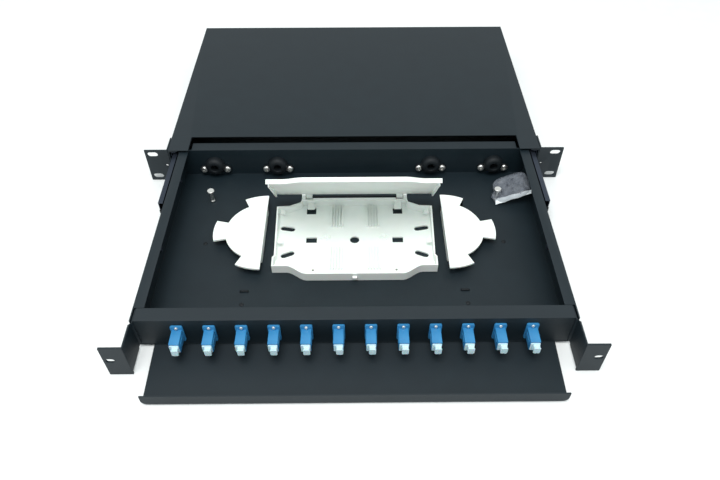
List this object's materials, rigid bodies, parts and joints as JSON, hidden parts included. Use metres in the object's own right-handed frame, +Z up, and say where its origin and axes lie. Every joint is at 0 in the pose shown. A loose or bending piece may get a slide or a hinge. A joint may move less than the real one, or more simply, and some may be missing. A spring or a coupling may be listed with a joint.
{
  "type": "fiber termination box",
  "caption": "One-unit sliding 19-inch fibre termination box: chassis, pull-out drawer with an adapter panel, cable shelf, hinged splice cassette and fibre guides.",
  "frame": {"origin": "middle of the box's plan outline, on the plane it stands on, with the drawer out", "axes": "+X right as seen from the front, +Y into the rack, +Z up"},
  "size_m": [0.4826, 0.581, 0.1056],
  "materials": {
    "black_powder_coat": "fine-textured satin black powder coat",
    "slide_steel": "dark zinc-plated rolled steel",
    "bright_nickel": "bright nickel-plated steel",
    "black_rubber": "matt moulded black",
    "adapter_blue": "satin moulded blue",
    "cap_white": "satin moulded white",
    "white_plastic": "satin moulded white ABS",
    "bag_film": "clear thin film bag over dark contents"
  },
  "bodies": {
    "chassis": {"chassis_base": "black_powder_coat", "top_cover": "black_powder_coat", "rack_ear_left": "black_powder_coat", "rack_ear_right": "black_powder_coat", "cabinet_slide_left": "slide_steel", "cabinet_slide_right": "slide_steel"},
    "intermediate_stage": {"intermediate_slide_left": "slide_steel", "intermediate_slide_right": "slide_steel", "slide_bumper_left": "black_rubber", "slide_bumper_right": "black_rubber"},
    "drawer": {"drawer_tray": "black_powder_coat", "front_panel": "black_powder_coat", "handle_bracket_left": "black_powder_coat", "handle_bracket_right": "black_powder_coat", "cable_shelf": "black_powder_coat", "drawer_slide_left": "slide_steel", "anchor_post_left": "bright_nickel", "fiber_guide_left": "white_plastic", "drawer_slide_right": "slide_steel", "anchor_post_right": "bright_nickel", "fiber_guide_right": "white_plastic", "adapter_01": "adapter_blue", "adapter_02": "adapter_blue", "adapter_03": "adapter_blue", "adapter_04": "adapter_blue", "adapter_05": "adapter_blue", "adapter_06": "adapter_blue", "adapter_07": "adapter_blue", "adapter_08": "adapter_blue", "adapter_09": "adapter_blue", "adapter_10": "adapter_blue", "adapter_11": "adapter_blue", "adapter_12": "adapter_blue", "cable_gland_1": "black_rubber", "cable_gland_2": "black_rubber", "cable_gland_3": "black_rubber", "cable_gland_4": "black_rubber", "splice_cassette": "white_plastic", "cassette_hinge_pin": "slide_steel", "accessory_bag": "bag_film"},
    "lid": {"cassette_lid": "white_plastic"},
    "cap_01": {"dust_cap_01": "cap_white"},
    "cap_02": {"dust_cap_02": "cap_white"},
    "cap_03": {"dust_cap_03": "cap_white"},
    "cap_04": {"dust_cap_04": "cap_white"},
    "cap_05": {"dust_cap_05": "cap_white"},
    "cap_06": {"dust_cap_06": "cap_white"},
    "cap_07": {"dust_cap_07": "cap_white"},
    "cap_08": {"dust_cap_08": "cap_white"},
    "cap_09": {"dust_cap_09": "cap_white"},
    "cap_10": {"dust_cap_10": "cap_white"},
    "cap_11": {"dust_cap_11": "cap_white"},
    "cap_12": {"dust_cap_12": "cap_white"}
  },
  "joints": [
    {"name": "slide_outer_stage", "type": "slide", "parent": "chassis", "child": "intermediate_stage", "axis": [0, 1, 0], "range_m": [0, 0.082]},
    {"name": "slide_inner_stage", "type": "slide", "parent": "intermediate_stage", "child": "drawer", "axis": [0, 1, 0], "range_m": [0, 0.1825]},
    {"name": "cassette_lid_hinge", "type": "hinge", "parent": "drawer", "child": "lid", "pos_m": [0, -0.039, 0.0135], "axis": [1, 0, 0], "range_deg": [0, 50]},
    {"name": "dust_cap_01_pull", "type": "slide", "parent": "drawer", "child": "cap_01", "axis": [0, -1, 0], "range_m": [0, 0.014]},
    {"name": "dust_cap_02_pull", "type": "slide", "parent": "drawer", "child": "cap_02", "axis": [0, -1, 0], "range_m": [0, 0.014]},
    {"name": "dust_cap_03_pull", "type": "slide", "parent": "drawer", "child": "cap_03", "axis": [0, -1, 0], "range_m": [0, 0.014]},
    {"name": "dust_cap_04_pull", "type": "slide", "parent": "drawer", "child": "cap_04", "axis": [0, -1, 0], "range_m": [0, 0.014]},
    {"name": "dust_cap_05_pull", "type": "slide", "parent": "drawer", "child": "cap_05", "axis": [0, -1, 0], "range_m": [0, 0.014]},
    {"name": "dust_cap_06_pull", "type": "slide", "parent": "drawer", "child": "cap_06", "axis": [0, -1, 0], "range_m": [0, 0.014]},
    {"name": "dust_cap_07_pull", "type": "slide", "parent": "drawer", "child": "cap_07", "axis": [0, -1, 0], "range_m": [0, 0.014]},
    {"name": "dust_cap_08_pull", "type": "slide", "parent": "drawer", "child": "cap_08", "axis": [0, -1, 0], "range_m": [0, 0.014]},
    {"name": "dust_cap_09_pull", "type": "slide", "parent": "drawer", "child": "cap_09", "axis": [0, -1, 0], "range_m": [0, 0.014]},
    {"name": "dust_cap_10_pull", "type": "slide", "parent": "drawer", "child": "cap_10", "axis": [0, -1, 0], "range_m": [0, 0.014]},
    {"name": "dust_cap_11_pull", "type": "slide", "parent": "drawer", "child": "cap_11", "axis": [0, -1, 0], "range_m": [0, 0.014]},
    {"name": "dust_cap_12_pull", "type": "slide", "parent": "drawer", "child": "cap_12", "axis": [0, -1, 0], "range_m": [0, 0.014]}
  ],
  "couplings": [
    {"joint": "cassette_lid_hinge", "follows": "slide_inner_stage", "rad_per_m": 4.781}
  ]
}
